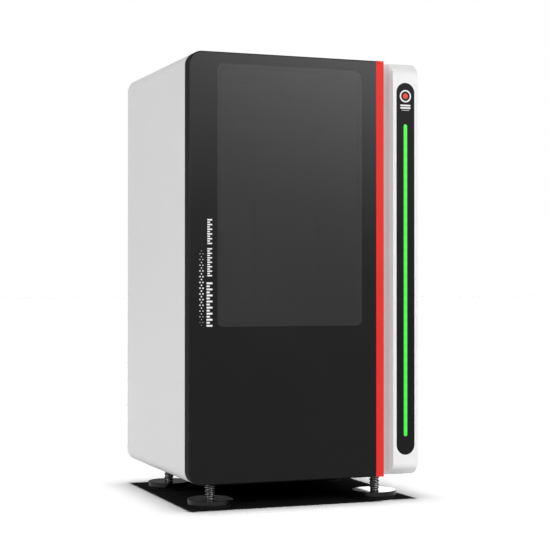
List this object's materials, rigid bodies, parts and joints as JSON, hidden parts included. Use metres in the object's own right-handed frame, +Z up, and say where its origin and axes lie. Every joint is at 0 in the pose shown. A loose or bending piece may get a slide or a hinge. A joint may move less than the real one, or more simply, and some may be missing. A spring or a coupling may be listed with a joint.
{
  "type": "resin printer",
  "caption": "Tall cabinet resin printer with a hinged tinted-window door, full-height pull strip, lit status column, vat, lifting platform and levelling feet.",
  "frame": {"origin": "on the floor, under the middle of the object's bounding box", "axes": "+Z up, the door faces -Y, +X to the right as seen from the front"},
  "size_m": [0.443, 0.405, 0.8],
  "materials": {
    "white_paint": "satin white powder coat",
    "white_plastic": "fine satin white moulding",
    "gloss_black": "high gloss black",
    "tinted_glass": "dark tinted, polished",
    "black_moulding": "fine matte grain",
    "red_paint": "satin red",
    "green_light": "lit diffuser",
    "rubber_black": "matte rubber",
    "grey_steel": "grey powder coat",
    "bright_steel": "brushed",
    "polished_steel": "polished",
    "black_steel": "black oxide",
    "anodised": "bead blasted, anodised",
    "black_anodised": "black anodised",
    "screen_glass": "polished",
    "clear_film": "clear film",
    "lens_acrylic": "clear acrylic",
    "board_green": "solder mask",
    "brass_nut": "machined"
  },
  "bodies": {
    "cabinet": {"cabinet_shell": "white_paint", "front_frame": "white_paint", "rear_panel": "grey_steel", "base_plate": "grey_steel", "deck_plate": "grey_steel", "chamber_liner": "grey_steel", "front_column": "white_plastic", "status_panel": "gloss_black", "light_strip": "green_light", "led_board": "board_green", "hinge_brackets": "bright_steel", "hinge_pins": "bright_steel", "lcd_screen": "screen_glass", "resin_vat": "anodised", "vat_film": "clear_film", "vat_studs": "bright_steel", "z_backplate": "anodised", "z_rails": "bright_steel", "z_motor": "black_anodised", "screw_bearing": "anodised", "light_engine": "black_anodised", "collimator_lens": "lens_acrylic", "heatsink": "black_anodised", "control_board": "board_green", "power_supply": "grey_steel", "power_inlet": "black_moulding", "data_ports": "black_moulding", "fan_frame": "black_moulding", "panel_screws": "bright_steel", "foot_lock_nuts": "bright_steel"},
    "door": {"door_shell": "gloss_black", "door_window": "tinted_glass", "door_liner": "black_moulding", "handle_strip": "red_paint", "door_seal": "rubber_black", "door_magnets": "bright_steel", "hinge_leaves": "bright_steel"},
    "carriage": {"z_carriage": "anodised", "rail_blocks": "bright_steel", "screw_nut": "brass_nut", "build_platform": "anodised"},
    "platform_knob": {"platform_knob": "black_moulding"},
    "screw": {"lead_screw": "polished_steel", "shaft_coupling": "anodised"},
    "vat_knob_left": {"vat_knob_left": "black_moulding"},
    "vat_knob_right": {"vat_knob_right": "black_moulding"},
    "fan_rotor": {"fan_impeller": "black_moulding"},
    "rocker": {"rocker_switch": "gloss_black"},
    "foot_front_left": {"foot_pad_front_left": "black_steel", "foot_rubber_front_left": "rubber_black"},
    "stud_front_left": {"foot_stud_front_left": "black_steel"},
    "foot_front_right": {"foot_pad_front_right": "black_steel", "foot_rubber_front_right": "rubber_black"},
    "stud_front_right": {"foot_stud_front_right": "black_steel"},
    "foot_rear_left": {"foot_pad_rear_left": "black_steel", "foot_rubber_rear_left": "rubber_black"},
    "stud_rear_left": {"foot_stud_rear_left": "black_steel"},
    "foot_rear_right": {"foot_pad_rear_right": "black_steel", "foot_rubber_rear_right": "rubber_black"},
    "stud_rear_right": {"foot_stud_rear_right": "black_steel"}
  },
  "joints": [
    {"name": "door_hinge", "type": "hinge", "parent": "cabinet", "child": "door", "pos_m": [-0.2145, -0.1855, 0.42], "axis": [0, 0, -1], "range_deg": [0, 115]},
    {"name": "z_lift", "type": "slide", "parent": "cabinet", "child": "carriage", "axis": [0, 0, 1], "range_m": [-0.355, 0.008]},
    {"name": "screw_spin", "type": "hinge", "parent": "cabinet", "child": "screw", "pos_m": [0, 0.077, 0.53], "axis": [0, 0, 1], "continuous": true},
    {"name": "platform_knob_turn", "type": "hinge", "parent": "carriage", "child": "platform_knob", "pos_m": [0, -0.0445, 0.75], "axis": [0, 0, 1], "range_deg": [0, 360]},
    {"name": "vat_knob_left_turn", "type": "hinge", "parent": "cabinet", "child": "vat_knob_left", "pos_m": [-0.1065, -0.0445, 0.34], "axis": [0, 0, 1], "range_deg": [0, 360]},
    {"name": "vat_knob_right_turn", "type": "hinge", "parent": "cabinet", "child": "vat_knob_right", "pos_m": [0.1065, -0.0445, 0.34], "axis": [0, 0, 1], "range_deg": [0, 360]},
    {"name": "fan_spin", "type": "hinge", "parent": "cabinet", "child": "fan_rotor", "pos_m": [-0.06, 0.187, 0.205], "axis": [0, 1, 0], "continuous": true},
    {"name": "rocker_tip", "type": "hinge", "parent": "cabinet", "child": "rocker", "pos_m": [0.15, 0.195, 0.165], "axis": [-1, 0, 0], "range_deg": [0, 14]},
    {"name": "foot_front_left_level", "type": "slide", "parent": "cabinet", "child": "foot_front_left", "axis": [0, 0, 1], "range_m": [-0.01, 0]},
    {"name": "stud_front_left_turn", "type": "hinge", "parent": "foot_front_left", "child": "stud_front_left", "pos_m": [-0.1675, -0.1525, 0.05], "axis": [0, 0, 1], "continuous": true},
    {"name": "foot_front_right_level", "type": "slide", "parent": "cabinet", "child": "foot_front_right", "axis": [0, 0, 1], "range_m": [-0.01, 0]},
    {"name": "stud_front_right_turn", "type": "hinge", "parent": "foot_front_right", "child": "stud_front_right", "pos_m": [0.1525, -0.1525, 0.05], "axis": [0, 0, 1], "continuous": true},
    {"name": "foot_rear_left_level", "type": "slide", "parent": "cabinet", "child": "foot_rear_left", "axis": [0, 0, 1], "range_m": [-0.01, 0]},
    {"name": "stud_rear_left_turn", "type": "hinge", "parent": "foot_rear_left", "child": "stud_rear_left", "pos_m": [-0.1675, 0.0975, 0.05], "axis": [0, 0, 1], "continuous": true},
    {"name": "foot_rear_right_level", "type": "slide", "parent": "cabinet", "child": "foot_rear_right", "axis": [0, 0, 1], "range_m": [-0.01, 0]},
    {"name": "stud_rear_right_turn", "type": "hinge", "parent": "foot_rear_right", "child": "stud_rear_right", "pos_m": [0.1525, 0.0975, 0.05], "axis": [0, 0, 1], "continuous": true}
  ],
  "couplings": [
    {"joint": "screw_spin", "follows": "z_lift", "rad_per_m": -1256.6},
    {"joint": "stud_front_left_turn", "follows": "foot_front_left_level", "rad_per_m": 966.64},
    {"joint": "stud_front_right_turn", "follows": "foot_front_right_level", "rad_per_m": 966.64},
    {"joint": "stud_rear_left_turn", "follows": "foot_rear_left_level", "rad_per_m": 966.64},
    {"joint": "stud_rear_right_turn", "follows": "foot_rear_right_level", "rad_per_m": 966.64}
  ]
}
